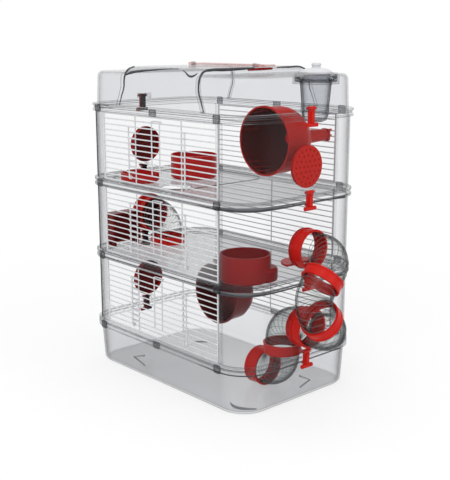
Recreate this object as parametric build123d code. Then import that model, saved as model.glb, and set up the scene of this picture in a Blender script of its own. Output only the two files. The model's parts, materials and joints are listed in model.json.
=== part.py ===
from build123d import *
import os
from math import sqrt

# Three-storey hamster cage. Millimetres, +Z up, origin at the centre of the tub's flat underside.
# X runs along the long side, the clear end with the outside tube is at +X, the front is at -Y.

# ---------------------------------------------------------------- driving dimensions
PANEL_LENGTH = 394.0  # outer plan of the clear end panels
PANEL_WIDTH = 260.0
PANEL_RADIUS = 50.0
WALL = 2.0  # clear panel thickness
TUB_HEIGHT = 72.0
TUB_BASE = (386.0, 252.0, 47.0)  # length, width and corner radius of the tub's underside
TUB_FLOOR = 2.5
TUB_ROUNDING = 9.0  # of the edge round the underside
STOREY_PITCH = 125.0
STOREYS = 3
RAIL_HALF = 6.0  # half the height of a frame at each storey joint
RAIL_PROUD = 5.0  # how far the frames stand out of the panels
RAIL_INSET = 2.5  # and how far they reach inside them
GROOVE_HALF = 3.0  # half the height of the groove round each frame
GROOVE_DEPTH = 2.0
DECK_THICKNESS = 2.5
FEEDING_AREA = (192.0, 206.0, 34.0)  # length, width and corner radius of the groove on the upper deck
FEEDING_CENTRE = (-78.0, -4.0)
PASSAGE_CENTRE = (-18.0, -76.0)  # the way from the middle storey to the top one
PASSAGE_RADIUS = 25.0

DOME_RIM = (388.0, 254.0, 47.0)  # length, width and corner radius of the lid's dome at its rim
DOME_CROWN = (384.0, 250.0, 46.0)  # and at its top
DOME_ROUNDING = 9.0
LID_TOP = 506.0
SADDLE_TOP = 515.0
LID_WALL = 2.2

WIRE = 2.0  # diameter of the grille bars
FRAME_WIRE = 3.0
GRILLE_GAPS = 12  # spaces between the bars of one grille
DOOR_WIRE = 2.4
DOOR_SIDE = 70.0  # X of the door's side wires
OPENING_SIDE = 57.5  # X of the wires beside the door opening
CATCH_SIDE = 10.0  # X of the two wires that end in the door's hook
EYE_RADIUS = 2.9  # outer size of the eyes that a door turns on
EYE_HALF = 2.0  # and half their length

HOLE_ABOVE_RAIL = 50.0  # height of the round end holes over each frame
HOLE_RADIUS = 31.0
TUBE_OUTER = 27.5
TUBE_INNER = 25.5
SOCKET = 12.0  # straight stretch at each end of a bend
ARC_RADIUS = 32.2  # centre-line radius between those stretches
COLLAR_OUTER = 30.5
COLLAR_INNER = 27.8
COLLAR_LENGTH = 16.0
LIP_LENGTH = 2.5  # the small raised lip at the end of every red ring
LIP_HEIGHT = 0.8
STOP = 0.5  # half the width of the ridge inside a collar that the tube ends meet

WHEEL_CENTRE = (124.0, 405.0)  # X and Z of the wheel's axle
WHEEL_FRONT = -18.0
WHEEL_RADIUS = 54.0

HOPPER_CENTRE = (140.0, 80.0)
HOPPER_FLANGE_RADIUS = 33.0
HOPPER_FLANGE_TOP = 505.0
HOPPER_BOTTOM = 430.0

# ---------------------------------------------------------------- dimensions that follow
END_X = PANEL_LENGTH / 2
SIDE_Y = PANEL_WIDTH / 2
POST_X = END_X - PANEL_RADIUS
RAIL_LEVELS = [TUB_HEIGHT + STOREY_PITCH * i for i in range(STOREYS + 1)]
PANEL_HEIGHT = STOREY_PITCH - 2 * RAIL_HALF
GRILLE_Y = SIDE_Y - FRAME_WIRE / 2
LID_FLANGE_TOP = RAIL_LEVELS[-1] + RAIL_HALF
UPPER_HOLE_Z = RAIL_LEVELS[1] + HOLE_ABOVE_RAIL
LOWER_HOLE_Z = RAIL_LEVELS[0] + HOLE_ABOVE_RAIL
UPPER_SLEEVE_X = END_X - 6.0  # inner ends of the two sleeves in the right end
LOWER_SLEEVE_X = END_X - 9.0
FLOOR_TUBE_START = (-END_X + 16.0, 0, UPPER_HOLE_Z)
FLOOR_HOLE_X = FLOOR_TUBE_START[0] + SOCKET + ARC_RADIUS
DIAGONAL = 1 / sqrt(2)
RUNNING_GAP = 0.08  # radial clearance of every pin in its hole
LIFT_GAP = 0.3  # clearance beside pieces that slide or lift past each other
FRONT = -1
BACK = 1
LEFT = -1
RIGHT = 1
SIDE_NAMES = {LEFT: "left", RIGHT: "right"}


# ---------------------------------------------------------------- helpers
def rounded_plate(length, width, radius, z_low, z_high):
    """An upright prism over a rounded rectangle centred on the Z axis."""
    return extrude(Pos(0, 0, z_low) * RectangleRounded(length, width, radius), z_high - z_low)


def rounded_loft(low, high):
    """A drafted body between two rounded rectangles, each (length, width, radius, z)."""
    sections = []
    for length, width, radius, z in (low, high):
        sections.append(Pos(0, 0, z) * RectangleRounded(length, width, radius))
    return loft(sections)


def block(x0, x1, y0, y1, z0, z1):
    """A box from its lowest to its highest corner."""
    return Pos((x0 + x1) / 2, (y0 + y1) / 2, (z0 + z1) / 2) * Box(x1 - x0, y1 - y0, z1 - z0)


def rod(start, end, radius):
    """A straight round bar from one point to another."""
    start = Vector(*start)
    run = Vector(*end) - start
    return Solid.make_cylinder(radius, run.length, Plane(origin=start, z_dir=run.normalized()))


def tube(start, end, outer, inner):
    """A straight hollow cylinder from one point to another."""
    return rod(start, end, outer) - rod(start, end, inner)


def elbow(start, entering, leaving, reach_start=-STOP, reach_end=-STOP):
    """A quarter bend of clear tube with straight ends, which may reach past its end points or stop short."""
    start = Vector(*start)
    entering = Vector(*entering)
    leaving = Vector(*leaving)
    arc_start = start + entering * SOCKET
    arc_end = arc_start + (entering + leaving) * ARC_RADIUS
    section = Plane(origin=arc_start, z_dir=entering) * (Circle(TUBE_OUTER) - Circle(TUBE_INNER))
    pivot = Axis(origin=arc_start + leaving * ARC_RADIUS, direction=entering.cross(leaving))
    bend = revolve(section, pivot, 90)
    bend = bend + tube(start - entering * reach_start, arc_start, TUBE_OUTER, TUBE_INNER)
    return bend + tube(arc_end, arc_end + leaving * (SOCKET + reach_end), TUBE_OUTER, TUBE_INNER)


def bend_end(start, entering, leaving):
    """The point where such a bend ends."""
    span = SOCKET + ARC_RADIUS
    return tuple(Vector(*start) + Vector(*entering) * span + Vector(*leaving) * span)


def collar(centre, direction, length=COLLAR_LENGTH, lip_height=LIP_HEIGHT):
    """A coupling ring round a tube joint, with a small lip at each end and a stop ridge in its middle."""
    direction = Vector(*direction)
    centre = Vector(*centre)
    low = centre - direction * (length / 2)
    high = centre + direction * (length / 2)
    lip = direction * LIP_LENGTH
    ring = rod(low, high, COLLAR_OUTER)
    ring = ring + rod(low, low + lip, COLLAR_OUTER + lip_height)
    ring = ring + rod(high - lip, high, COLLAR_OUTER + lip_height)
    ring = ring - rod(low, centre - direction * STOP, COLLAR_INNER)
    ring = ring - rod(centre + direction * STOP, high, COLLAR_INNER)
    return ring - rod(low, high, TUBE_INNER)


def about_y(profile, x, z):
    """A body turned round an axle along Y; the profile lists (distance along Y, radius) points."""
    face = Plane(origin=(x, 0, z), x_dir=(0, 1, 0), z_dir=(1, 0, 0)) * make_face(Polyline(profile, close=True))
    return revolve(face, Axis((x, 0, z), (0, 1, 0)), 360)


def about_z(profile, x, y):
    """A body turned round an upright axis; the profile lists (radius, height) points."""
    face = Plane(origin=(x, y, 0), x_dir=(1, 0, 0), z_dir=(0, -1, 0)) * make_face(Polyline(profile, close=True))
    return revolve(face, Axis((x, y, 0), (0, 0, 1)), 360)


def edges_at(shape, z, tolerance=0.6):
    """The edges of a shape that lie flat at one height."""
    found = []
    for edge in shape.edges():
        box = edge.bounding_box()
        if abs(box.min.Z - z) + abs(box.max.Z - z) < tolerance:
            found.append(edge)
    return found


# ---------------------------------------------------------------- tub, frames and decks
def make_tub():
    rim_low = TUB_HEIGHT - RAIL_HALF
    outer = rounded_loft((*TUB_BASE, 0), (PANEL_LENGTH, PANEL_WIDTH, PANEL_RADIUS, rim_low))
    outer = fillet(edges_at(outer, 0), TUB_ROUNDING)
    length, width, radius = TUB_BASE
    floor_plan = (length - 2 * TUB_FLOOR, width - 2 * TUB_FLOOR, radius - TUB_FLOOR, TUB_FLOOR)
    rim_plan = (PANEL_LENGTH - 2 * TUB_FLOOR, PANEL_WIDTH - 2 * TUB_FLOOR, PANEL_RADIUS - TUB_FLOOR, TUB_HEIGHT)
    inner = rounded_loft(floor_plan, rim_plan)
    inner = fillet(edges_at(inner, TUB_FLOOR), TUB_ROUNDING - 2.0)
    return outer + rail_ring(rim_low, TUB_HEIGHT) - inner


def rail_ring(z_low, z_high):
    """The plain ring that every frame is made from."""
    outer = rounded_plate(
        PANEL_LENGTH + 2 * RAIL_PROUD,
        PANEL_WIDTH + 2 * RAIL_PROUD,
        PANEL_RADIUS + RAIL_PROUD,
        z_low,
        z_high,
    )
    inner = rounded_plate(
        PANEL_LENGTH - 2 * RAIL_INSET,
        PANEL_WIDTH - 2 * RAIL_INSET,
        PANEL_RADIUS - RAIL_INSET,
        z_low,
        z_high,
    )
    return outer - inner


def groove_ring(z_low, z_high):
    """A shallow groove round the outside of a frame, between its two lips."""
    outer = rounded_plate(
        PANEL_LENGTH + 2 * RAIL_PROUD,
        PANEL_WIDTH + 2 * RAIL_PROUD,
        PANEL_RADIUS + RAIL_PROUD,
        z_low,
        z_high,
    )
    proud = RAIL_PROUD - GROOVE_DEPTH
    return outer - rounded_plate(
        PANEL_LENGTH + 2 * proud, PANEL_WIDTH + 2 * proud, PANEL_RADIUS + proud, z_low, z_high
    )


def make_deck(level, feeding_area):
    """A floor with its frame. The upper one has a marked feeding area, the lower one the den's runners."""
    ring = rail_ring(level - RAIL_HALF, level + RAIL_HALF) - groove_ring(level - GROOVE_HALF, level + GROOVE_HALF)
    floor = rounded_plate(
        PANEL_LENGTH - 2 * RAIL_INSET + 1,
        PANEL_WIDTH - 2 * RAIL_INSET + 1,
        PANEL_RADIUS - RAIL_INSET,
        level,
        level + DECK_THICKNESS,
    )
    deck = ring + floor
    if feeding_area:
        length, width, radius = FEEDING_AREA
        place = Pos(*FEEDING_CENTRE, level + DECK_THICKNESS - 0.9)
        groove_outer = place * RectangleRounded(length, width, radius)
        groove_inner = place * RectangleRounded(length - 5.0, width - 5.0, radius - 2.5)
        deck = deck - extrude(groove_outer - groove_inner, 2.0)
        return deck - Pos(*PASSAGE_CENTRE, level) * Cylinder(PASSAGE_RADIUS, 4 * DECK_THICKNESS)
    deck = deck - Pos(FLOOR_HOLE_X, 0, level) * Cylinder(TUBE_INNER + 0.5, 4 * DECK_THICKNESS)
    for runner in den_runners():
        deck = deck + runner
    return deck


# ---------------------------------------------------------------- end panels
def clip_lugs(side, level, reach_from):
    """Two small ears that carry a clip's pin, on the wall above a frame."""
    ears = []
    for y_low in (-10.0, 7.2):
        ear = block(reach_from, END_X + 9.5, y_low, y_low + 2.8, level + 8, level + 16)
        ears.append(ear if side == RIGHT else mirror(ear, Plane.YZ))
    pin_x = side * CLIP_PIN_X
    pin_z = level + CLIP_PIN_Z
    hole = rod((pin_x, -20, pin_z), (pin_x, 20, pin_z), CLIP_PIN_RADIUS + RUNNING_GAP)
    return [ear - hole for ear in ears]


def make_end_panel(side, storey):
    """The U-shaped clear end of one storey: a flat end, two round corners and a thick post at each edge."""
    z_low = RAIL_LEVELS[storey] + RAIL_HALF
    z_high = z_low + PANEL_HEIGHT
    shell = rounded_plate(PANEL_LENGTH, PANEL_WIDTH, PANEL_RADIUS, z_low, z_high)
    shell = shell - rounded_plate(
        PANEL_LENGTH - 2 * WALL, PANEL_WIDTH - 2 * WALL, PANEL_RADIUS - WALL, z_low, z_high
    )
    shell = shell & block(POST_X, END_X + 1, -SIDE_Y - 1, SIDE_Y + 1, z_low, z_high)
    for y_side in (FRONT, BACK):
        y_edges = sorted((y_side * (SIDE_Y - 4.5), y_side * SIDE_Y))
        shell = shell + block(POST_X - 4.0, POST_X + 1.0, *y_edges, z_low, z_high)
    hole_z = RAIL_LEVELS[storey] + HOLE_ABOVE_RAIL
    shell = shell - rod((END_X - 10, 0, hole_z), (END_X + 10, 0, hole_z), HOLE_RADIUS)
    if side == LEFT:
        shell = mirror(shell, Plane.YZ)
    for ear in clip_lugs(side, RAIL_LEVELS[storey], END_X - 0.5):
        shell = shell + ear
    return shell


# ---------------------------------------------------------------- wire grilles and doors
def bar_levels(storey):
    """Heights of the bars of one grille, from its bottom frame wire to its top one."""
    low = RAIL_LEVELS[storey] + RAIL_HALF + FRAME_WIRE / 2
    step = (PANEL_HEIGHT - FRAME_WIRE) / GRILLE_GAPS
    return [low + step * k for k in range(GRILLE_GAPS + 1)]


def fuse_all(solids):
    """One solid from many that touch."""
    first = Part() + solids[0]
    return first.fuse(*solids[1:])


def make_grille(storey, y_side, with_opening):
    """A welded wire panel that fills one side between the posts."""
    levels = bar_levels(storey)
    bar_y = y_side * GRILLE_Y
    upright_y = y_side * (GRILLE_Y - 1.8)
    reach = POST_X - 4.0 - FRAME_WIRE / 2
    wires = []
    for z in (levels[0], levels[-1]):
        wires.append(rod((-reach, bar_y, z), (reach, bar_y, z), FRAME_WIRE / 2))
    for x in (-reach, reach):
        wires.append(rod((x, bar_y, levels[0]), (x, bar_y, levels[-1]), FRAME_WIRE / 2))
        for z in (levels[0], levels[-1]):
            wires.append(Pos(x, bar_y, z) * Sphere(FRAME_WIRE / 2))
    for k in range(1, GRILLE_GAPS):
        cut = with_opening and 1 < k < GRILLE_GAPS - 1
        if cut:
            wires.append(rod((-reach, bar_y, levels[k]), (-OPENING_SIDE, bar_y, levels[k]), WIRE / 2))
            wires.append(rod((OPENING_SIDE, bar_y, levels[k]), (reach, bar_y, levels[k]), WIRE / 2))
        else:
            wires.append(rod((-reach, bar_y, levels[k]), (reach, bar_y, levels[k]), WIRE / 2))
    uprights = (-OPENING_SIDE, OPENING_SIDE) if with_opening else (0.0,)
    for x in uprights:
        wires.append(rod((x, upright_y, levels[0]), (x, upright_y, levels[-1]), WIRE / 2))
    return fuse_all(wires)


def make_door(storey):
    """A wire door that overlaps its opening from outside and hooks over the bar above it."""
    levels = bar_levels(storey)
    hinge_z = levels[1]
    catch_z = levels[-2]
    upright_y = -(GRILLE_Y + 2.5)
    bar_y = upright_y - 1.9
    wires = []
    for k in range(2, GRILLE_GAPS - 1):
        wires.append(rod((-DOOR_SIDE - 1, bar_y, levels[k]), (DOOR_SIDE + 1, bar_y, levels[k]), WIRE / 2))
    for x in (-DOOR_SIDE, DOOR_SIDE):
        wires.append(rod((x, upright_y, hinge_z), (x, upright_y, levels[-3] + 1), DOOR_WIRE / 2))
        eye_start = (x - EYE_HALF, -GRILLE_Y, hinge_z)
        eye_end = (x + EYE_HALF, -GRILLE_Y, hinge_z)
        wires.append(tube(eye_start, eye_end, EYE_RADIUS, WIRE / 2 + RUNNING_GAP))
    hook_z = catch_z + 2.7
    for x in (-CATCH_SIDE, CATCH_SIDE):
        wires.append(rod((x, upright_y, levels[2]), (x, upright_y, hook_z), WIRE / 2))
        wires.append(Pos(x, upright_y, hook_z) * Sphere(WIRE / 2))
        wires.append(rod((x, upright_y, hook_z), (x, -GRILLE_Y + 1, hook_z), WIRE / 2))
        wires.append(Pos(x, -GRILLE_Y + 1, hook_z) * Sphere(WIRE / 2))
    wires.append(rod((-CATCH_SIDE, -GRILLE_Y + 1, hook_z), (CATCH_SIDE, -GRILLE_Y + 1, hook_z), WIRE / 2))
    return fuse_all(wires)


# ---------------------------------------------------------------- small frame fittings
def lid_relief(y_side):
    """The thin gap behind the highest fittings, so that the lid's rim lifts off past them."""
    face_y = SIDE_Y + RAIL_PROUD
    y_edges = sorted((y_side * (face_y - 1.0), y_side * (face_y + LIFT_GAP)))
    return block(-END_X, END_X, *y_edges, RAIL_LEVELS[-1] - 0.2, LID_FLANGE_TOP + 5.0)


def make_corner_keys():
    """Sixteen clear keys that lock the end posts, the grilles and the frames together."""
    keys = []
    for level in RAIL_LEVELS:
        for x_side in (LEFT, RIGHT):
            for y_side in (FRONT, BACK):
                outer_y = SIDE_Y + RAIL_PROUD
                y_edges = sorted((y_side * outer_y, y_side * (outer_y + 2.0)))
                key = block(-7.0, 7.0, *y_edges, level - 6.5, level + 6.5)
                key = fillet(key.edges().filter_by(Axis.Y), 2.5)
                keys.append(Pos(x_side * POST_X, 0, 0) * (key - lid_relief(y_side)))
    return Compound(children=keys)


def make_grille_clips():
    """Four clear clips that hold the middle of the grilles to the lowest and highest frames."""
    clips = []
    for level in (RAIL_LEVELS[0], RAIL_LEVELS[-1]):
        for y_side in (FRONT, BACK):
            outer_y = SIDE_Y + RAIL_PROUD
            y_edges = sorted((y_side * outer_y, y_side * (outer_y + 2.5)))
            clip = block(-8.0, 8.0, *y_edges, level - 5.5, level + 5.5)
            clip = fillet(clip.edges().filter_by(Axis.Y), 2.0)
            clips.append(clip - lid_relief(y_side))
    return Compound(children=clips)


def make_bottom_frame():
    level = RAIL_LEVELS[0]
    return rail_ring(level, level + RAIL_HALF) - groove_ring(level, level + GROOVE_HALF)


def make_top_frame():
    level = RAIL_LEVELS[-1]
    return rail_ring(level - RAIL_HALF, level) - groove_ring(level - GROOVE_HALF, level)


# ---------------------------------------------------------------- clips
CLIP_PIN_X = END_X + 7.2
CLIP_PIN_Z = 12.0
CLIP_PIN_RADIUS = 1.5
CLIP_HALF_WIDTH = 6.0
CLIP_FOOT_HALF_WIDTH = 11.5
CLIP_THICKNESS = 3.4
CLIP_LOW = -15.5  # the foot's lowest edge, from the middle of its frame


def make_clip(side, level, hooked):
    """A red swing clip over one frame: a pin, a bowed lever and a broad thumb bar at its foot."""
    face_x = END_X + RAIL_PROUD + 0.4
    pin_z = level + CLIP_PIN_Z
    half = CLIP_HALF_WIDTH
    lever = block(face_x, face_x + CLIP_THICKNESS, -half, half, level - 12.0, pin_z)
    lever = lever + rod((CLIP_PIN_X, -half - 0.6, pin_z), (CLIP_PIN_X, half + 0.6, pin_z), 3.0)
    lever = lever + block(face_x + 0.6, face_x + 5.6, -3.2, 3.2, level - 9.0, level + 7.0)
    reach = CLIP_FOOT_HALF_WIDTH
    foot = block(face_x + 0.4, face_x + 6.0, -reach, reach, level + CLIP_LOW, level + CLIP_LOW + 6.0)
    foot = fillet(foot.edges().filter_by(Axis.Y), 2.2)
    lever = lever + foot
    lever = lever + rod((CLIP_PIN_X, -9.8, pin_z), (CLIP_PIN_X, 9.8, pin_z), CLIP_PIN_RADIUS)
    if hooked:
        lever = lever + block(face_x - 3.6, face_x + 1.0, -5.0, 5.0, level - 9.0, level - RAIL_HALF - 0.5)
    return lever if side == RIGHT else mirror(lever, Plane.YZ)


# ---------------------------------------------------------------- lid and carry handle
SADDLE_FOOT_X = (-107.0, 102.0)  # ends of the lid's raised middle at the rim
SADDLE_END_X = (-95.0, 90.0)  # and above its bend
SADDLE_BEND_Z = 482.0
SADDLE_HALF_Y = 119.0
SADDLE_ROUNDING = 20.0
HANDLE_X = (-72.0, 95.0)
HANDLE_PIN_Z = 518.0
HANDLE_PIN_RADIUS = 1.6
HANDLE_REACH = 27.0
HANDLE_THICKNESS = 3.4


def saddle_side(inset):
    """The raised middle's side outline, between its end walls, drawn out across the whole lid."""
    low, high = LID_FLANGE_TOP - 8.0, SADDLE_TOP + 6.0
    left = [(SADDLE_FOOT_X[0] + inset, low), (SADDLE_FOOT_X[0] + inset, LID_FLANGE_TOP)]
    left += [(SADDLE_END_X[0] + inset, SADDLE_BEND_Z), (SADDLE_END_X[0] + inset, high)]
    right = [(SADDLE_END_X[1] - inset, high), (SADDLE_END_X[1] - inset, SADDLE_BEND_Z)]
    right += [(SADDLE_FOOT_X[1] - inset, LID_FLANGE_TOP), (SADDLE_FOOT_X[1] - inset, low)]
    return extrude(Plane.XZ * make_face(Polyline(*left, *right, close=True)), 160, both=True)


def saddle_arch(inset):
    """The raised middle's outline seen from its end, with widely rounded shoulders, drawn out along the lid."""
    low, high = LID_FLANGE_TOP - 8.0, SADDLE_TOP - inset
    half = SADDLE_HALF_Y - inset
    outline = Polyline((-half - 2.0, low), (half + 2.0, low), (half, high), (-half, high), close=True)
    arch = make_face(outline)
    arch = fillet(arch.vertices().group_by(Axis.Y)[-1], SADDLE_ROUNDING - inset)
    return extrude(Plane.YZ * arch, 220, both=True)


def make_lid():
    dome = rounded_loft((*DOME_RIM, LID_FLANGE_TOP), (*DOME_CROWN, LID_TOP))
    dome = fillet(edges_at(dome, LID_TOP), DOME_ROUNDING)
    hollow_rim = (DOME_RIM[0] - 2 * LID_WALL, DOME_RIM[1] - 2 * LID_WALL, DOME_RIM[2] - 2.0)
    hollow_crown = (DOME_CROWN[0] - 2 * LID_WALL, DOME_CROWN[1] - 2 * LID_WALL, DOME_CROWN[2] - 2.0)
    hollow = rounded_loft((*hollow_rim, LID_FLANGE_TOP - 1), (*hollow_crown, LID_TOP - LID_WALL))
    hollow = fillet(edges_at(hollow, LID_TOP - LID_WALL), DOME_ROUNDING - 2.0)
    trim = block(-200, 200, -140, 140, LID_FLANGE_TOP - 20, LID_FLANGE_TOP)
    outside = (saddle_side(0) & saddle_arch(0)) - trim
    ends = [e for e in outside.edges() if e.bounding_box().size.X < 0.01 and e.center().Z > SADDLE_BEND_Z + 1]
    outside = fillet(ends, 2.5)
    pockets = saddle_side(0) - saddle_arch(0)
    pocket_backs = saddle_side(-LID_WALL) - saddle_arch(LID_WALL)
    body = (dome - pockets) + outside
    cavity = (hollow - pocket_backs) + (saddle_side(LID_WALL) & saddle_arch(LID_WALL))
    body = body - cavity
    level = RAIL_LEVELS[-1]
    flange = rail_ring(level, LID_FLANGE_TOP) - groove_ring(level, level + GROOVE_HALF)
    length, width, radius = DOME_RIM
    skirt = rounded_plate(length + 1.4, width + 1.4, radius + 0.6, LID_FLANGE_TOP - 3, LID_FLANGE_TOP)
    skirt = skirt - rounded_plate(length - 6.0, width - 6.0, radius - 3.0, LID_FLANGE_TOP - 3, LID_FLANGE_TOP)
    body = body + flange + (skirt - cavity)
    body = body - Pos(*HOPPER_CENTRE, 0) * Pos(0, 0, LID_TOP) * Cylinder(HOPPER_FLANGE_RADIUS + 1.6, 30)
    seat = about_z(
        [(26.0, 489.5), (36.8, 489.5), (36.8, LID_TOP), (34.0, LID_TOP), (34.0, 492.5), (26.0, 492.5)],
        *HOPPER_CENTRE,
    )
    body = body + seat
    for side in (LEFT, RIGHT):
        for ear in clip_lugs(side, level, END_X - 6.0):
            body = body + ear
    for x in handle_lug_places():
        lug = block(x, x + 5.0, -3.4, 3.4, SADDLE_TOP - 1.0, HANDLE_PIN_Z)
        lug = lug + rod((x, 0, HANDLE_PIN_Z), (x + 5.0, 0, HANDLE_PIN_Z), 3.4)
        body = body + (lug - handle_pin_hole())
    return body


def handle_lug_places():
    """Lowest X of the two ears that hold the handle's pins."""
    return (HANDLE_X[0] + 8.4, HANDLE_X[1] - 13.4)


def handle_pin_hole():
    """The bore through both ears, on the handle's axis."""
    start = (HANDLE_X[0] - 5, 0, HANDLE_PIN_Z)
    end = (HANDLE_X[1] + 5, 0, HANDLE_PIN_Z)
    return rod(start, end, HANDLE_PIN_RADIUS + RUNNING_GAP)


def make_handle():
    """A flat bail folded back on the lid: a broad grip bar, two arms and a trunnion on each arm."""
    x0, x1 = HANDLE_X
    low = SADDLE_TOP + 0.5
    high = low + HANDLE_THICKNESS
    bar = block(x0, x1, HANDLE_REACH - 8.0, HANDLE_REACH + 8.0, low, high)
    bar = fillet(bar.edges().filter_by(Axis.X), 1.4)
    for x in (x0, x1 - 8.0):
        arm = block(x, x + 8.0, 0, HANDLE_REACH, low, high)
        arm = arm + rod((x, 0, HANDLE_PIN_Z), (x + 8.0, 0, HANDLE_PIN_Z), 2.6)
        bar = bar + arm
    bar = bar + rod((x0 + 4.0, 0, HANDLE_PIN_Z), (x0 + 13.6, 0, HANDLE_PIN_Z), HANDLE_PIN_RADIUS)
    return bar + rod((x1 - 13.6, 0, HANDLE_PIN_Z), (x1 - 4.0, 0, HANDLE_PIN_Z), HANDLE_PIN_RADIUS)


# ---------------------------------------------------------------- hopper
def make_hopper():
    """The smoke-clear feed hopper that hangs in the lid, with an outlet in its lowest side."""
    top = HOPPER_FLANGE_TOP
    low = HOPPER_BOTTOM
    outline = [
        (22.3, top),
        (HOPPER_FLANGE_RADIUS, top),
        (HOPPER_FLANGE_RADIUS, 493.0),
        (29.0, 493.0),
        (29.0, 497.0),
        (24.5, 494.0),
        (23.6, 480.0),
        (20.2, low + 8.0),
        (17.6, low + 2.2),
        (12.0, low),
        (0.0, low),
        (0.0, low + 2.0),
        (11.4, low + 2.0),
        (16.0, low + 3.8),
        (18.2, low + 8.6),
        (21.6, 480.0),
        (22.3, 493.0),
    ]
    body = about_z(outline, *HOPPER_CENTRE)
    x, y = HOPPER_CENTRE
    outlet = block(x - 8.0, x + 8.0, y - 30.0, y - 10.0, low + 3.0, low + 17.0)
    return body - outlet


def make_hopper_cap():
    """The pale lift-off cap of the hopper, with its finger knob."""
    top = HOPPER_FLANGE_TOP
    outline = [
        (0.0, top + 1.2),
        (19.6, top + 1.2),
        (19.6, top - 7.0),
        (21.6, top - 7.0),
        (21.6, top + 0.3),
        (25.5, top + 0.3),
        (25.5, top + 2.6),
        (22.5, top + 5.4),
        (15.0, top + 8.0),
        (7.6, top + 9.0),
        (6.6, top + 11.0),
        (8.0, top + 14.0),
        (6.5, top + 16.4),
        (0.0, top + 17.0),
    ]
    return about_z(outline, *HOPPER_CENTRE)


# ---------------------------------------------------------------- exercise wheel
WHEEL_HUB_BORE = 4.1
AXLE_RADIUS = 4.0
AXLE_FRONT = 40.0
AXLE_BACK = 122.5
BRACKET_HALF = 10.0  # half the height of the plate behind the hub


def make_wheel():
    """The wheel's drum: an open rim, a running surface, a rounded back and a long tapering hub."""
    y = WHEEL_FRONT
    outer = [
        (y, 51.5),
        (y, WHEEL_RADIUS),
        (y + 4.0, WHEEL_RADIUS),
        (y + 5.5, 52.0),
        (y + 36.0, 52.0),
        (y + 46.0, 50.0),
        (y + 56.0, 45.5),
        (y + 66.0, 38.0),
        (y + 75.0, 29.0),
        (y + 84.0, 19.5),
        (y + 92.0, 12.5),
        (y + 100.0, 11.2),
        (y + 138.0, 9.3),
        (y + 138.0, WHEEL_HUB_BORE),
        (y + 60.0, WHEEL_HUB_BORE),
        (y + 60.0, 9.0),
        (y + 80.0, 10.0),
        (y + 82.4, 18.0),
        (y + 73.4, 27.4),
        (y + 64.6, 36.2),
        (y + 54.8, 43.6),
        (y + 45.4, 48.0),
        (y + 35.6, 50.0),
        (y + 3.0, 50.0),
    ]
    x, z = WHEEL_CENTRE
    drum = about_y(outer, x, z)
    treads = []
    for k in range(24):
        tread = Rot(0, k * 15.0, 0) * block(-1.0, 1.0, y + 5.0, y + 36.0, 48.6, 50.4)
        treads.append(Pos(x, 0, z) * tread)
    return drum.fuse(*treads)


def make_wheel_axle():
    x, z = WHEEL_CENTRE
    axle = rod((x, AXLE_FRONT + 4, z), (x, AXLE_BACK, z), AXLE_RADIUS)
    return axle + rod((x, AXLE_FRONT - 1.0, z), (x, AXLE_FRONT + 4, z), 2.5)


def make_axle_cap():
    """The round cap that keeps the wheel on its axle."""
    x, z = WHEEL_CENTRE
    cap = rod((x, AXLE_FRONT - 3.0, z), (x, AXLE_FRONT + 1.6, z), 7.5)
    return cap - rod((x, AXLE_FRONT - 1.0, z), (x, AXLE_FRONT + 1.7, z), 2.55)


def make_wheel_bracket():
    """The plate behind the hub that hooks on the bars of the back grille."""
    x, z = WHEEL_CENTRE
    near_y = AXLE_BACK
    plate = block(x - 9.0, x + 9.0, near_y, near_y + 3.0, z - BRACKET_HALF, z + BRACKET_HALF)
    plate = fillet(plate.edges().filter_by(Axis.Y), 4.0)
    levels = bar_levels(2)
    for bar_z in [level for level in levels if abs(level - z) < BRACKET_HALF - 2.5]:
        for dx in (-6.0, 6.0):
            hook = block(x + dx - 1.5, x + dx + 1.5, near_y + 2.0, GRILLE_Y + 2.6, bar_z + WIRE / 2, bar_z + 2.9)
            lip = block(x + dx - 1.5, x + dx + 1.5, GRILLE_Y + 1.1, GRILLE_Y + 2.6, bar_z - 1.5, bar_z + 2.0)
            plate = plate + hook + lip
    return plate


# ---------------------------------------------------------------- plugs and tube mounts
PLUG_RADIUS = 32.0
PLUG_FACE = 2.5  # how far the plug's disc stands out of the wall
PLUG_DEPTH = 4.0  # and how far its sleeve reaches in
PLUG_SKIN = 0.6
DIMPLE_RADIUS = 1.7
DIMPLE_DEPTH = 0.9
DIMPLE_RINGS = ((1, 0.0), (6, 8.6), (12, 17.2), (18, 25.8))  # how many dimples in each ring, and its radius


def make_plug(side, storey):
    """A round plug for an end hole, with rings of small dimples in its outer face."""
    z = RAIL_LEVELS[storey] + HOLE_ABOVE_RAIL
    face_x = END_X + PLUG_FACE
    plug = rod((END_X, 0, z), (face_x, 0, z), PLUG_RADIUS)
    plug = plug + rod((END_X - PLUG_DEPTH, 0, z), (END_X + PLUG_SKIN, 0, z), HOLE_RADIUS - 0.4)
    plug = plug - rod((END_X - PLUG_DEPTH - 1, 0, z), (END_X + PLUG_SKIN, 0, z), HOLE_RADIUS - 2.6)
    dimples = []
    for count, ring_radius in DIMPLE_RINGS:
        for k in range(count):
            spot = Vector(0, ring_radius, 0).rotate(Axis.X, 360.0 * k / count)
            start = (face_x - DIMPLE_DEPTH, spot.Y, z + spot.Z)
            dimples.append(rod(start, (face_x + 1, spot.Y, z + spot.Z), DIMPLE_RADIUS))
    plug = plug.cut(*dimples)
    return plug if side == RIGHT else mirror(plug, Plane.YZ)


MOUNT_REACH = 18.0  # how far a tube mount stands out of the wall
MOUNT_FLANGE = 2.0


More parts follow.
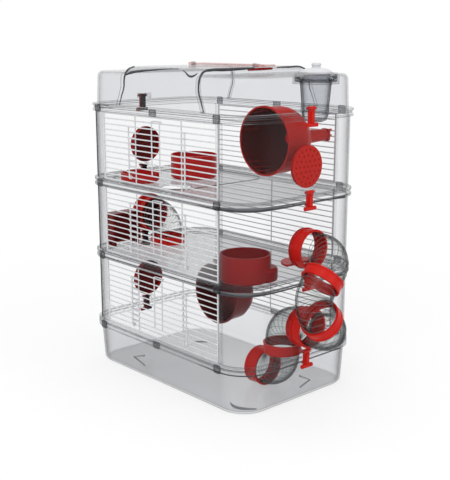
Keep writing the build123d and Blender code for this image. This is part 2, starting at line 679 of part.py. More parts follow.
def make_tube_mount(storey, inner_x):
    """The flanged red sleeve in a right end hole that the outside tube pushes into, with a stop ridge."""
    z = RAIL_LEVELS[storey] + HOLE_ABOVE_RAIL
    outer_x = END_X + MOUNT_REACH
    mount = rod((inner_x, 0, z), (outer_x, 0, z), COLLAR_OUTER)
    mount = mount + rod((END_X, 0, z), (END_X + MOUNT_FLANGE, 0, z), HOLE_RADIUS + 0.9)
    mount = mount + rod((outer_x - LIP_LENGTH, 0, z), (outer_x, 0, z), COLLAR_OUTER + LIP_HEIGHT)
    mount = mount - rod((inner_x - 1, 0, z), (END_X, 0, z), COLLAR_INNER)
    mount = mount - rod((END_X + MOUNT_FLANGE, 0, z), (outer_x + 1, 0, z), COLLAR_INNER)
    return mount - rod((inner_x - 1, 0, z), (outer_x + 1, 0, z), TUBE_INNER)


STEP_RADIUS = 32.0
STEP_THICKNESS = 3.0
STEP_DROP = 24.0  # below the tube's middle


def make_landing_step():
    """A half-round step inside the cage at the mouth of the upper tube, carried by the sleeve's end."""
    z = UPPER_HOLE_Z - STEP_DROP
    disc = Pos(UPPER_SLEEVE_X, 0, z) * Cylinder(STEP_RADIUS, STEP_THICKNESS)
    return disc & block(UPPER_SLEEVE_X - 40, UPPER_SLEEVE_X, -40, 40, z - 5, z + 5)


# ---------------------------------------------------------------- tubes
MOUTH_LENGTH = 24.0  # of the ring round the tube's mouth in the tub
PUSH_IN = 14.0  # how far the outside tube reaches into its two mounts
OUTWARD = (1, 0, 0)
INWARD = (-1, 0, 0)
DOWN = (0, 0, -1)
DOWN_FRONT = (0, -DIAGONAL, -DIAGONAL)
DOWN_BACK = (0, DIAGONAL, -DIAGONAL)


def make_outside_tube():
    """Three bends that lead from the upper end hole forwards, down and back into the lower one."""
    start = (END_X + 20.0, 0, UPPER_HOLE_Z)
    first = bend_end(start, OUTWARD, DOWN_FRONT)
    second = bend_end(first, DOWN_FRONT, DOWN_BACK)
    return {
        "outside_elbow_upper": elbow(start, OUTWARD, DOWN_FRONT, reach_start=PUSH_IN),
        "outside_elbow_middle": elbow(first, DOWN_FRONT, DOWN_BACK),
        "outside_elbow_lower": elbow(second, DOWN_BACK, INWARD, reach_end=PUSH_IN),
        "outside_collars": Compound(children=[collar(first, DOWN_FRONT), collar(second, DOWN_BACK)]),
    }


def make_tub_tube():
    """Two bends that lead from the lowest end hole down to the tub's floor, the last one with a mouth ring."""
    start = (END_X, 0, LOWER_HOLE_Z)
    middle = bend_end(start, INWARD, DOWN)
    end = bend_end(middle, DOWN, INWARD)
    return {
        "tub_elbow_upper": elbow(start, INWARD, DOWN, reach_start=0.0),
        "tub_elbow_lower": elbow(middle, DOWN, INWARD),
        "tub_tube_collars": Compound(children=[collar(middle, DOWN), collar(end, INWARD, MOUTH_LENGTH, 0.4)]),
    }


FLOOR_MOUNT_RADIUS = 35.0
FLOOR_RING_HEIGHT = 14.0


def make_floor_tube():
    """The bend from the left end hole of the middle storey down to the hole in the lower deck."""
    start = FLOOR_TUBE_START
    end = bend_end(start, OUTWARD, DOWN)
    z = start[2]
    wall = -END_X + WALL
    mount = tube((wall, 0, z), (wall + 3.0, 0, z), FLOOR_MOUNT_RADIUS, HOLE_RADIUS)
    mount = mount + tube((wall + 3.0, 0, z), (wall + 6.0, 0, z), FLOOR_MOUNT_RADIUS, TUBE_INNER)
    mount = mount + tube((wall + 6.0, 0, z), (wall + 20.0, 0, z), COLLAR_OUTER, COLLAR_INNER)
    deck_top = RAIL_LEVELS[1] + DECK_THICKNESS
    foot = tube((end[0], 0, deck_top), (end[0], 0, deck_top + FLOOR_RING_HEIGHT), COLLAR_OUTER, COLLAR_INNER)
    foot = foot + tube((end[0], 0, deck_top), (end[0], 0, end[2]), COLLAR_OUTER, TUBE_INNER)
    return {
        "floor_elbow": elbow(start, OUTWARD, DOWN, reach_start=8.0, reach_end=0.0),
        "floor_tube_mount": mount,
        "floor_tube_collar": foot,
    }


# ---------------------------------------------------------------- loose furniture
def cup(radius, height, wall, foot_inset, lift):
    """Profile of an open round dish standing on its base, from its axis outwards."""
    return [
        (0.0, lift),
        (radius - foot_inset, lift),
        (radius, lift + foot_inset),
        (radius, lift + height),
        (radius - wall, lift + height),
        (radius - wall, lift + foot_inset + 1.0),
        (radius - wall - foot_inset, lift + wall),
        (0.0, lift + wall),
    ]


BATH_CENTRE = (-72.7, 8.5)
DISH_CENTRE = (-96.0, -90.0)
HOUSE_CENTRE = (143.0, -74.0)
HOUSE_RADIUS = 38.8
HOUSE_WALL = 2.2
LOBE_RADIUS = 24.5  # the rounded step beside the house
LOBE_HEIGHT = 22.0
LOBE_OFFSET = 25.0


def make_bath_bowl():
    deck_top = RAIL_LEVELS[2] + DECK_THICKNESS
    return about_z(cup(39.5, 40.5, 2.2, 3.0, deck_top), *BATH_CENTRE)


def make_food_dish():
    deck_top = RAIL_LEVELS[2] + DECK_THICKNESS
    return about_z(cup(32.0, 16.5, 2.4, 4.0, deck_top), *DISH_CENTRE)


def make_round_house():
    """A round tub on the lower deck with a rounded step on its inner side."""
    x, y = HOUSE_CENTRE
    lift = RAIL_LEVELS[1] + DECK_THICKNESS
    body = Part() + about_z(cup(HOUSE_RADIUS, 42.0, HOUSE_WALL, 2.5, lift), x, y)
    shift = LOBE_OFFSET * DIAGONAL
    lobe = Pos(x + shift, y + shift, lift + LOBE_HEIGHT / 2) * Cylinder(LOBE_RADIUS, LOBE_HEIGHT)
    lobe = fillet(lobe.edges(), 5.0)
    hollow = Pos(x, y, lift + HOUSE_WALL + 50) * Cylinder(HOUSE_RADIUS - HOUSE_WALL, 100)
    overlap = Pos(x, y, lift + LOBE_HEIGHT / 2) * Cylinder(HOUSE_RADIUS - 1.3, LOBE_HEIGHT + 8)
    return body + (lobe - overlap) - (hollow & lobe)


DEN_CENTRE = (8.0, 137.0)
DEN_FRONT = -14.0


def make_hanging_den():
    """A round den under the lower deck, open to the front, with a rail on its top."""
    x, z = DEN_CENTRE
    y = DEN_FRONT
    outer = [
        (y, 49.6),
        (y, 52.2),
        (y + 4.0, 52.2),
        (y + 5.5, 50.0),
        (y + 36.0, 49.0),
        (y + 46.0, 44.0),
        (y + 51.0, 35.0),
        (y + 52.5, 25.0),
        (y + 52.5, 0.0),
        (y + 50.2, 0.0),
        (y + 50.2, 24.0),
        (y + 48.8, 33.8),
        (y + 44.4, 42.2),
        (y + 35.0, 46.8),
        (y + 5.0, 47.8),
    ]
    shell = about_y(outer, x, z)
    web = block(x - 5.0, x + 5.0, y + 6.0, y + 38.0, z + 48.0, z + 55.0)
    head = block(x - 11.0, x + 11.0, y + 6.0, y + 38.0, z + 54.5, z + 57.0)
    return shell + web + head


def den_runners():
    """Two L-shaped runners moulded under the lower deck, in which the den's rail slides."""
    x, z = DEN_CENTRE
    deck_underside = RAIL_LEVELS[1]
    runners = []
    for side in (LEFT, RIGHT):
        x_edges = sorted((x + side * 11.4, x + side * 13.6))
        runner = block(*x_edges, DEN_FRONT + 6.0, DEN_FRONT + 40.0, z + 51.8, deck_underside + 0.5)
        x_edges = sorted((x + side * 5.5, x + side * 13.6))
        runners.append(runner + block(*x_edges, DEN_FRONT + 6.0, DEN_FRONT + 40.0, z + 51.8, z + 54.2))
    return runners


def make_nest_box():
    """A shallow box on short feet against the left end of the middle storey, open to the inside."""
    x0, x1, y0, y1 = -189.0, -166.0, -98.0, -37.0
    low = RAIL_LEVELS[1] + DECK_THICKNESS
    floor = low + 9.0
    outer = block(x0, x1, y0, y1, floor, floor + 51.0)
    outer = fillet(outer.edges().filter_by(Axis.Z), 4.0)
    outer = outer - block(x0 + 2.2, x1 + 1, y0 + 2.2, y1 - 2.2, floor + 2.2, floor + 48.8)
    for x in (x0 + 5.5, x1 - 5.5):
        for y in (y0 + 5.5, y1 - 5.5):
            outer = outer + rod((x, y, low), (x, y, floor + 1.0), 3.5)
    return outer


# ---------------------------------------------------------------- assembly
def build_nodes():
    nodes = {
        "tub": make_tub(),
        "bottom_frame": make_bottom_frame(),
        "lower_deck": make_deck(RAIL_LEVELS[1], feeding_area=False),
        "upper_deck": make_deck(RAIL_LEVELS[2], feeding_area=True),
        "top_frame": make_top_frame(),
        "corner_keys": make_corner_keys(),
        "grille_clips": make_grille_clips(),
        "lid": make_lid(),
        "carry_handle": make_handle(),
        "feed_hopper": make_hopper(),
        "hopper_cap": make_hopper_cap(),
        "exercise_wheel": make_wheel(),
        "wheel_axle": make_wheel_axle(),
        "axle_cap": make_axle_cap(),
        "wheel_bracket": make_wheel_bracket(),
        "tube_mount_upper": make_tube_mount(1, UPPER_SLEEVE_X),
        "tube_mount_lower": make_tube_mount(0, LOWER_SLEEVE_X),
        "landing_step": make_landing_step(),
        "bath_bowl": make_bath_bowl(),
        "food_dish": make_food_dish(),
        "round_house": make_round_house(),
        "hanging_den": make_hanging_den(),
        "nest_box": make_nest_box(),
    }
    for storey in range(STOREYS):
        number = storey + 1
        nodes[f"end_panel_left_{number}"] = make_end_panel(LEFT, storey)
        nodes[f"end_panel_right_{number}"] = make_end_panel(RIGHT, storey)
        nodes[f"front_grille_{number}"] = make_grille(storey, FRONT, with_opening=True)
        nodes[f"back_grille_{number}"] = make_grille(storey, BACK, with_opening=False)
        nodes[f"front_door_{number}"] = make_door(storey)
        nodes[f"plug_left_{number}"] = make_plug(LEFT, storey)
    nodes["plug_right_3"] = make_plug(RIGHT, 2)
    for side, name in SIDE_NAMES.items():
        for k, level in enumerate(RAIL_LEVELS):
            hooked = k < STOREYS
            nodes[f"clip_{name}_{k + 1}"] = make_clip(side, level, hooked)
    nodes.update(make_outside_tube())
    nodes.update(make_tub_tube())
    nodes.update(make_floor_tube())
    return nodes


def main():
    os.makedirs("parts", exist_ok=True)
    for name, shape in build_nodes().items():
        export_step(shape, f"parts/{name}.step")


main()
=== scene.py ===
import json
import math

import bmesh
import bpy
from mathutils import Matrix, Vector

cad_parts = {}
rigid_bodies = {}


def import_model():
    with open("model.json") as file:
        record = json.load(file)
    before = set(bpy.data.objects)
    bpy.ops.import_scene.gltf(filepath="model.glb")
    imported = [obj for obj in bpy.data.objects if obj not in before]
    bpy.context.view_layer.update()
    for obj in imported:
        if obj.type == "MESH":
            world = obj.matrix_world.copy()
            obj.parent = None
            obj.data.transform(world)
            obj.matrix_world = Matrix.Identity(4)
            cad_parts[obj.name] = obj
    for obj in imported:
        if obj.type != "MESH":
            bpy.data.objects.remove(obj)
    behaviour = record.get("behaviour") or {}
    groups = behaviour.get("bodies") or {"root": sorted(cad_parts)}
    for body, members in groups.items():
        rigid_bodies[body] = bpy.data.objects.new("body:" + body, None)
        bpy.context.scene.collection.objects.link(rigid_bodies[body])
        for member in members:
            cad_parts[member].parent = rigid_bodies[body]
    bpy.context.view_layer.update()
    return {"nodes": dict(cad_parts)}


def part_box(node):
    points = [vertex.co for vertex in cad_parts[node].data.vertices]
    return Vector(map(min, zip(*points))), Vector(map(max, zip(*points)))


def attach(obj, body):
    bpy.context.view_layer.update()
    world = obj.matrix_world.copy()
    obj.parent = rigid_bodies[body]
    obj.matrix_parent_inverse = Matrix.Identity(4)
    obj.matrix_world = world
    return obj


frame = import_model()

NODES = frame["nodes"]
MM = 0.001


# ---------------------------------------------------------------- places and sizes, in millimetres
def span(node, axis):
    """Lowest and highest coordinate of a node along one axis (0, 1 or 2)."""
    low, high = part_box(node)
    return low[axis] / MM, high[axis] / MM


def middle(node, axis):
    """Middle of a node's box along one axis."""
    return sum(span(node, axis)) / 2


TUB_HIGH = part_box("tub")[1] / MM
RAIL_X = TUB_HIGH.x  # outer faces of the rails round the cage
RAIL_Y = TUB_HIGH.y
# The top of the tub, the middles of the decks' boxes and the top of the top frame. The lower deck's box
# reaches under its rail, so its middle lies 1.1 mm under the rail's.
RAIL_LEVELS = (TUB_HIGH.z, middle("lower_deck", 2), middle("upper_deck", 2), span("top_frame", 2)[1])
RAIL_HALF = 6.0  # half the height of a rail
RAIL_ROUNDING = 55.0  # outer radius of a rail's corner
PANEL_X = RAIL_X - 5.0  # outer faces of the end panels
LID_RIM = RAIL_LEVELS[-1] + RAIL_HALF  # top of the lid's flange
TUB_FLOOR = 3.2  # height of the marks in the tub's floor
TUBE_ABOVE_LEVEL = 50.0  # height at which a tube starts over one of those levels
RIB_RADIUS = 27.4  # of the middle line of a rib, just inside the tube's outer radius of 27.5
SOCKET = 12.0  # straight stretch at each end of a bend
ARC_RADIUS = 32.2  # of the middle line of a bend


# ---------------------------------------------------------------- materials
class Nodes:
    """A short way to write the node tree of a new material or world."""

    def __init__(self, owner):
        owner.use_nodes = True
        self.owner = owner
        self.tree = owner.node_tree
        self.tree.nodes.clear()

    def add(self, kind, inputs=None, **settings):
        """A new node. Each of its inputs is a number, a colour, a vector or another node's socket."""
        node = self.tree.nodes.new(kind)
        for key, value in settings.items():
            setattr(node, key, value)
        for key, value in (inputs or {}).items():
            if isinstance(value, bpy.types.NodeSocket):
                self.tree.links.new(value, node.inputs[key])
            else:
                node.inputs[key].default_value = value
        return node

    def maths(self, operation, first, second):
        return self.add("ShaderNodeMath", {0: first, 1: second}, operation=operation).outputs[0]

    def vector_maths(self, operation, *values):
        """A vector, or a number where the operation gives one."""
        node = self.add("ShaderNodeVectorMath", dict(enumerate(values)), operation=operation)
        return node.outputs["Value" if operation in ("DOT_PRODUCT", "LENGTH") else "Vector"]

    def noise(self, scale, detail, roughness=0.5):
        """Noise from 0 to 1 that stays with the surface."""
        place = self.add("ShaderNodeTexCoord").outputs["Object"]
        inputs = {"Vector": place, "Scale": scale, "Detail": detail, "Roughness": roughness}
        return self.add("ShaderNodeTexNoise", inputs).outputs["Fac"]

    def spread(self, value, low, high, start=0.0, end=1.0):
        """Maps start..end to low..high, and goes no further."""
        inputs = {"Value": value, "From Min": start, "From Max": end, "To Min": low, "To Max": high}
        return self.add("ShaderNodeMapRange", inputs).outputs[0]

    def blend_colours(self, factor, first, second):
        return self.add("ShaderNodeMix", {0: factor, 6: first, 7: second}, data_type="RGBA").outputs[2]

    def bump(self, height, strength, distance):
        inputs = {"Height": height, "Strength": strength, "Distance": distance}
        return self.add("ShaderNodeBump", inputs).outputs[0]

    def mix_shaders(self, factor, first, second):
        return self.add("ShaderNodeMixShader", {0: factor, 1: first, 2: second}).outputs[0]

    def finish(self, shader):
        """Gives the material or world its surface, and returns it."""
        of_world = isinstance(self.owner, bpy.types.World)
        self.add("ShaderNodeOutputWorld" if of_world else "ShaderNodeOutputMaterial", {"Surface": shader})
        return self.owner


def rgba(colour, share=1.0):
    """A colour, times a share, with full alpha."""
    return (*(part * share for part in colour), 1.0)


WHITE = rgba((1, 1, 1))


def clear_plastic(name, tint, shade, haze, grazing, power, line=0.0, line_depth=0.7, gloss=0.25, shine=0.2):
    """Clear polished plastic: light passes it, and it darkens at its edges and where it is seen edge-on.

    tint is the colour of the light that passes, and shade the colour that covers it. haze is how much shade
    there is all over. grazing is how much is added where the wall is seen edge-on, and power how late that
    sets in. line is the radius, in metres, of the dark line along each edge, and line_depth how much shade it
    has. gloss is the mirror that shows edge-on, and shine the gloss of the shade.
    """
    look = Nodes(bpy.data.materials.new(name))
    waves = look.noise(scale=9.0, detail=2.0)
    specks = look.noise(scale=900.0, detail=4.0, roughness=0.7)
    edge_on = look.add("ShaderNodeLayerWeight", {"Blend": 0.5}).outputs["Facing"]
    veil = look.maths("MULTIPLY", look.maths("POWER", edge_on, power), grazing)
    veil = look.maths("ADD", veil, haze)
    veil = look.maths("MULTIPLY", veil, look.spread(waves, 0.85, 1.15))
    if line:
        rounded = look.add("ShaderNodeBevel", {"Radius": line}, samples=6).outputs[0]
        flat = look.add("ShaderNodeNewGeometry").outputs["Normal"]
        alike = look.vector_maths("DOT_PRODUCT", rounded, flat)
        veil = look.maths("MAXIMUM", veil, look.spread(alike, 0.0, line_depth, start=0.99, end=0.8))
    veil = look.maths("MINIMUM", veil, 1.0)
    normal = look.bump(waves, strength=0.12, distance=0.002)
    cover = look.add(
        "ShaderNodeBsdfPrincipled",
        {
            "Base Color": look.blend_colours(specks, rgba(shade, 0.92), rgba(shade)),
            "Roughness": look.spread(specks, 0.1, 0.2),
            "Specular IOR Level": shine,
            "Normal": normal,
        },
    ).outputs[0]
    through = look.add("ShaderNodeBsdfTransparent", {"Color": rgba(tint)}).outputs[0]
    sheen = look.add("ShaderNodeBsdfGlossy", {"Color": WHITE, "Roughness": 0.04, "Normal": normal}).outputs[0]
    mirror = look.maths("MULTIPLY", look.maths("POWER", edge_on, 5.0), gloss)
    mirror = look.maths("ADD", mirror, 0.005)
    return look.finish(look.mix_shaders(mirror, look.mix_shaders(veil, through, cover), sheen))


def towards_axis(look, place, x, z):
    """The direction from each point of a surface to an axis along Y, through (x, z) in metres."""
    flat = look.vector_maths("MULTIPLY", place, (1, 0, 1))
    return look.vector_maths("NORMALIZE", look.vector_maths("SUBTRACT", (x, 0.0, z), flat))


def moulded_plastic(name, colour, roughness=0.25, mottling=0.06, gloss=0.09, shaded=None, depth=1.0):
    """Glossy moulded plastic with a faint mottling and the mould's fine grain.

    shaded is a direction, or the point (x, z), in metres, of an axis along Y. The faces that look that way,
    or at that axis, keep about the share depth of the colour: painted shade on the inner sides of red pieces.
    """
    look = Nodes(bpy.data.materials.new(name))
    clouds = look.noise(scale=14.0, detail=3.0, roughness=0.6)
    grain = look.noise(scale=260.0, detail=4.0, roughness=0.6)
    base = look.blend_colours(clouds, rgba(colour, 1 - mottling), rgba(colour, 1 + mottling))
    # painted shade: the faces turned to the direction or axis are darkened
    if shaded:
        place = look.add("ShaderNodeTexCoord")
        direction = shaded if len(shaded) == 3 else towards_axis(look, place.outputs["Object"], *shaded)
        facing = look.vector_maths("DOT_PRODUCT", place.outputs["Normal"], direction)
        painted_shade_colour = rgba([part * depth + 0.002 for part in colour])
        base = look.blend_colours(look.spread(facing, 0.0, 1.0, start=0.15, end=0.6), base, painted_shade_colour)
    shader = look.add(
        "ShaderNodeBsdfPrincipled",
        {
            "Base Color": base,
            "Roughness": look.spread(grain, roughness - 0.05, roughness + 0.08),
            "Specular IOR Level": gloss,
            "Normal": look.bump(grain, strength=0.06, distance=0.0002),
        },
    )
    return look.finish(shader.outputs[0])


def coated_wire():
    """Steel wire under a smooth white coat, slightly pooled and greyed along its length."""
    look = Nodes(bpy.data.materials.new("wire_coat"))
    pools = look.noise(scale=120.0, detail=2.0)
    fine = look.noise(scale=700.0, detail=3.0)
    shader = look.add(
        "ShaderNodeBsdfPrincipled",
        {
            "Base Color": look.blend_colours(pools, rgba((0.57, 0.58, 0.6)), rgba((0.73, 0.74, 0.76))),
            "Roughness": look.spread(fine, 0.22, 0.4),
            "Metallic": 0.15,
            "Normal": look.bump(pools, strength=0.15, distance=0.0003),
        },
    )
    return look.finish(shader.outputs[0])


# the axes and the direction that faces turn to where they get painted shade
WHEEL_AXIS = tuple(middle("wheel_axle", axis) * MM for axis in (0, 2))
DEN_AXIS = tuple(middle("hanging_den", axis) * MM for axis in (0, 2))
TO_THE_RIGHT = (1.0, 0.0, 0.0)
RED = (0.5, 0.014, 0.01)
MATERIALS = {
    "panel": clear_plastic(
        "clear_panel", tint=(0.972, 0.973, 0.977), shade=(0.12, 0.125, 0.135),
        haze=0.01, grazing=0.8, power=3.0, line=0.001,
    ),
    "tub": clear_plastic(
        "clear_tub", tint=(0.96, 0.962, 0.97), shade=(0.09, 0.094, 0.103),
        haze=0.012, grazing=1.0, power=3.0, line=0.0014, line_depth=0.5,
    ),
    "lid": clear_plastic(
        "clear_lid", tint=(0.94, 0.943, 0.95), shade=(0.06, 0.063, 0.07),
        haze=0.015, grazing=0.6, power=4.0, line=0.0018,
    ),
    "deck": clear_plastic(
        "clear_deck", tint=(0.955, 0.958, 0.965), shade=(0.03, 0.032, 0.036),
        haze=0.03, grazing=0.5, power=3.0, line=0.0024, line_depth=1.0,
    ),
    "frame": clear_plastic(
        "clear_frame", tint=(0.955, 0.958, 0.963), shade=(0.06, 0.063, 0.07),
        haze=0.02, grazing=0.4, power=3.0, line=0.0018, line_depth=0.6,
    ),
    "fitting": clear_plastic(
        "smoky_fitting", tint=(0.8, 0.805, 0.82), shade=(0.03, 0.032, 0.036),
        haze=0.17, grazing=0.9, power=2.5, line=0.0018, line_depth=1.0,
    ),
    "tube": clear_plastic(
        "clear_tube", tint=(0.965, 0.968, 0.965), shade=(0.02, 0.021, 0.022),
        haze=0.012, grazing=1.4, power=4.5, gloss=0.08, shine=0.0,
    ),
    # a darker copy of the clear tube: painted shade on the bends inside the tub
    "dark_tube": clear_plastic(
        "shaded_tube", tint=(0.925, 0.935, 0.93), shade=(0.02, 0.022, 0.022),
        haze=0.03, grazing=1.3, power=4.0, gloss=0.08, shine=0.0,
    ),
    "smoke": clear_plastic(
        "smoke_plastic", tint=(0.915, 0.92, 0.93), shade=(0.02, 0.021, 0.024),
        haze=0.015, grazing=1.0, power=2.6, line=0.0026, line_depth=1.0, gloss=0.1, shine=0.05,
    ),
    "frosted": moulded_plastic("frosted_white", (0.6, 0.605, 0.62), roughness=0.3, mottling=0.02),
    "red": moulded_plastic("red_plastic", RED),
    # the left plugs and clips: the red, with painted shade on their faces turned to the right
    "left_plug_painted_shade": moulded_plastic("red_plastic_left_plug_painted_shade", RED, shaded=TO_THE_RIGHT, depth=0.16),
    "left_clip_painted_shade": moulded_plastic("red_plastic_left_clip_painted_shade", RED, shaded=TO_THE_RIGHT, depth=0.04),
    # the wheel: its inside, the faces turned to its axle, is painted shade
    "wheel": moulded_plastic("wheel_red_inner_painted_shade", (0.42, 0.018, 0.013), gloss=0.03, shaded=WHEEL_AXIS, depth=0.15),
    # the hanging den: a darker copy of the red, painted shade, and more painted shade on its inside
    "den": moulded_plastic("den_red_painted_shade", (0.16, 0.03, 0.03), gloss=0.05, shaded=DEN_AXIS, depth=0.45),
    "bowl_red": moulded_plastic("bowl_red_plastic", (0.42, 0.018, 0.018)),
    "plug_red": moulded_plastic("red_plastic_cover", (0.38, 0.017, 0.013)),
    # darker copies of the red, painted shade: for the round house and the handle's hinge block, and darker
    # still for the nest box
    "red_in_painted_shade": moulded_plastic("red_plastic_in_painted_shade", (0.24, 0.012, 0.012)),
    "red_in_deep_painted_shade": moulded_plastic("red_plastic_in_deep_painted_shade", (0.14, 0.01, 0.01)),
    "dark_line": moulded_plastic("edge_shade", (0.06, 0.062, 0.07), roughness=0.3, mottling=0.15),
    "mid_line": moulded_plastic("rail_edge_shade", (0.11, 0.113, 0.125), roughness=0.3, mottling=0.12),
    "soft_line": moulded_plastic("plain_mark", (0.27, 0.275, 0.29), roughness=0.3, mottling=0.1),
    "tube_line": moulded_plastic("tube_rib_shade", (0.13, 0.134, 0.14), roughness=0.3, mottling=0.1),
    "handle": clear_plastic(
        "handle_pink", tint=(0.96, 0.87, 0.86), shade=(0.58, 0.36, 0.35),
        haze=0.3, grazing=0.3, power=3.0, line=0.001, line_depth=0.3,
    ),
    "wire": coated_wire(),
}

NODE_MATERIALS = {
    "tub": "tub",
    "bottom_frame": "frame",
    "lower_deck": "deck",
    "upper_deck": "deck",
    "top_frame": "frame",
    "corner_keys": "fitting",
    "grille_clips": "fitting",
    "lid": "lid",
    "carry_handle": "handle",
    "feed_hopper": "smoke",
    "hopper_cap": "frosted",
    "exercise_wheel": "wheel",
    "bath_bowl": "bowl_red",
    "food_dish": "bowl_red",
    "round_house": "red_in_painted_shade",
    "hanging_den": "den",
    "nest_box": "red_in_deep_painted_shade",
}
FAMILY_MATERIALS = {  # for the nodes whose names start with these words
    "end_panel": "panel",
    "front_grille": "wire",
    "back_grille": "wire",
    "front_door": "wire",
    "outside_elbow": "tube",
    "floor_elbow": "tube",
    "tub_elbow": "dark_tube",
    "plug_left": "left_plug_painted_shade",
    "plug_right": "plug_red",
    "clip_left": "left_clip_painted_shade",
}


def node_material(name):
    """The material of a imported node: its own, its family's, or else plain red."""
    for family, material in FAMILY_MATERIALS.items():
        if name.startswith(family):
            return material
    return NODE_MATERIALS.get(name, "red")


def dress_nodes():
    """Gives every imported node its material."""
    for name, node in NODES.items():
        node.data.materials.clear()
        node.data.materials.append(MATERIALS[node_material(name)])


# ---------------------------------------------------------------- small builders
# A line is a list of points (x, y, z, width), in millimetres. Each width is from the middle to the outside.
def even(points, width):
    """A line that is as wide all along."""
    return [(*point, width) for point in points]


def varied(points, width, shares):
    """A line that is a share of one width at each point."""
    return [(*point, width * share) for point, share in zip(points, shares)]


def stroke(name, line, material, body, closed=False, smooth=True):
    """A thin round piece along a line, that rides on a body."""
    curve = bpy.data.curves.new(name, "CURVE")
    curve.dimensions = "3D"
    curve.bevel_depth = MM
    curve.bevel_resolution = 2
    curve.resolution_u = 6
    curve.use_fill_caps = True
    spline = curve.splines.new("BEZIER" if smooth else "POLY")
    places = spline.bezier_points if smooth else spline.points
    places.add(len(line) - 1)
    for place, (x, y, z, width) in zip(places, line):
        where = Vector((x, y, z)) * MM
        place.radius = width
        if smooth:
            place.co = where
            place.handle_left_type = place.handle_right_type = "AUTO"
        else:
            place.co = (*where, 1.0)
    spline.use_cyclic_u = closed
    holder = bpy.data.objects.new(name + "_line", curve)
    bpy.context.scene.collection.objects.link(holder)
    mesh = bpy.data.meshes.new_from_object(holder.evaluated_get(bpy.context.evaluated_depsgraph_get()))
    bpy.data.objects.remove(holder)
    bpy.data.curves.remove(curve)
    mesh.name = name
    return place_mesh(name, mesh, material, body)


def place_mesh(name, mesh, material, body):
    """A smooth piece from a mesh, that rides on a body."""
    mesh.materials.clear()
    mesh.materials.append(MATERIALS[material])
    for face in mesh.polygons:
        face.use_smooth = True
    piece = bpy.data.objects.new(name, mesh)
    bpy.context.scene.collection.objects.link(piece)
    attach(piece, body)
    return piece


def join(name, pieces, material, body):
    """One piece from several, which go."""
    combined = bmesh.new()
    for piece in pieces:
        combined.from_mesh(piece.data)
        bpy.data.objects.remove(piece)
    mesh = bpy.data.meshes.new(name)
    combined.to_mesh(mesh)
    combined.free()
    return place_mesh(name, mesh, material, body)


def circle(centre, axis, radius, steps=40):
    """Points of a circle round an axis."""
    side = axis.orthogonal().normalized()
    other = axis.cross(side)
    points = []
    for step in range(steps):
        angle = 2 * math.pi * step / steps
        points.append(centre + (side * math.cos(angle) + other * math.sin(angle)) * radius)
    return points


# ---------------------------------------------------------------- lid
RAISED_ENDS = (  # the ends of the lid's raised middle: x at the rim, x above the bend, the way inward
    ("left", -107.0, -95.0, 1),
    ("right", 102.0, 90.0, -1),
)
FRONT_STEP_WIDTH = 1.1
BACK_STEP_WIDTH = 0.5
RIGHT_EDGE = 89.5  # x of the dark line along the raised middle's right edge
HINGE_BLOCK_X = 88.6


def from_lid_corner(line):
    """A line whose y is given from the lid's front face and whose z is given from its rim."""
    return [(x, y - RAIL_Y, z + LID_RIM, width) for x, y, z, width in line]


LID_SHADES = {
    "lid_shoulder_shade": (
        (-94, 18.0, 48.0, 1.0),
        (-82, 20.0, 52.0, 2.3),
        (-60, 21.5, 55.0, 1.9),
        (-30, 23.5, 57.4, 1.3),
        (0, 27.0, 59.6, 0.9),
        (28, 30.0, 60.6, 0.5),
    ),
    "lid_thumb_dip_shade": (
        (44, 23.5, 59.0, 0.5),
        (54, 21.0, 56.0, 1.0),
        (62, 18.4, 52.6, 1.5),
        (69, 17.4, 50.8, 1.7),
        (76, 17.8, 51.8, 1.4),
        (82, 20.0, 55.4, 0.6),
    ),
    "lid_right_edge_shade": (
        (RIGHT_EDGE, 19.0, 50.0, 0.9),
        (RIGHT_EDGE, 26.0, 57.5, 1.5),
        (RIGHT_EDGE, 39.0, 60.0, 2.2),
        (RIGHT_EDGE, 65.0, 60.0, 2.5),
        (RIGHT_EDGE, 105.0, 60.6, 2.1),
        (RIGHT_EDGE, 129.0, 61.2, 1.0),
    ),
    "lid_right_edge_back_shade": (
        (RIGHT_EDGE, 179.0, 61.2, 0.9),
        (RIGHT_EDGE, 205.0, 61.2, 1.4),
        (RIGHT_EDGE, 233.0, 60.8, 1.3),
        (RIGHT_EDGE, 245.0, 56.5, 0.8),
    ),
}
HINGE_BLOCK = (
    (HINGE_BLOCK_X, 117.0, 58.6, 1.6),
    (HINGE_BLOCK_X, 143.0, 59.2, 2.2),
    (HINGE_BLOCK_X, 169.0, 59.4, 1.7),
)


def dress_lid():
    """The dark lines of painted shade where the clear wall of the lid's raised middle turns, and its hinge
    block.
    """
    for side, foot, end, inward in RAISED_ENDS:
        step = from_lid_corner([
            (foot, 14.4, 0.0, 0.6),
            ((foot + end) / 2, 14.8, 15.0, 0.9),
            (end, 15.4, 29.0, 1.0),
            (end + inward * 0.4, 16.2, 42.0, 1.2),
            (end + inward * 0.8, 22.4, 55.5, 1.3),
            (end + inward * 1.0, 36.0, 61.2, 1.2),
        ])
        front = [(x, y, z, share * FRONT_STEP_WIDTH) for x, y, z, share in step]
        back = [(x, -y, z, share * BACK_STEP_WIDTH) for x, y, z, share in step]
        stroke(f"lid_step_shade_{side}_front", front, "dark_line", "lid")
        stroke(f"lid_step_shade_{side}_back", back, "dark_line", "lid")
    for name, line in LID_SHADES.items():
        stroke(name, from_lid_corner(line), "dark_line", "lid")
    stroke("handle_hinge_block", from_lid_corner(HINGE_BLOCK), "red_in_painted_shade", "lid")


# ---------------------------------------------------------------- tubes
RIB_SPACES = 7  # between the ribs of a bend
RIB_WIDTH = 0.34
OUTSIDE_TUBE_START = 20.0  # how far the outside tube's first bend starts out of the end panel
FLOOR_TUBE_START = 16.0  # and the bend to the lower deck inside it


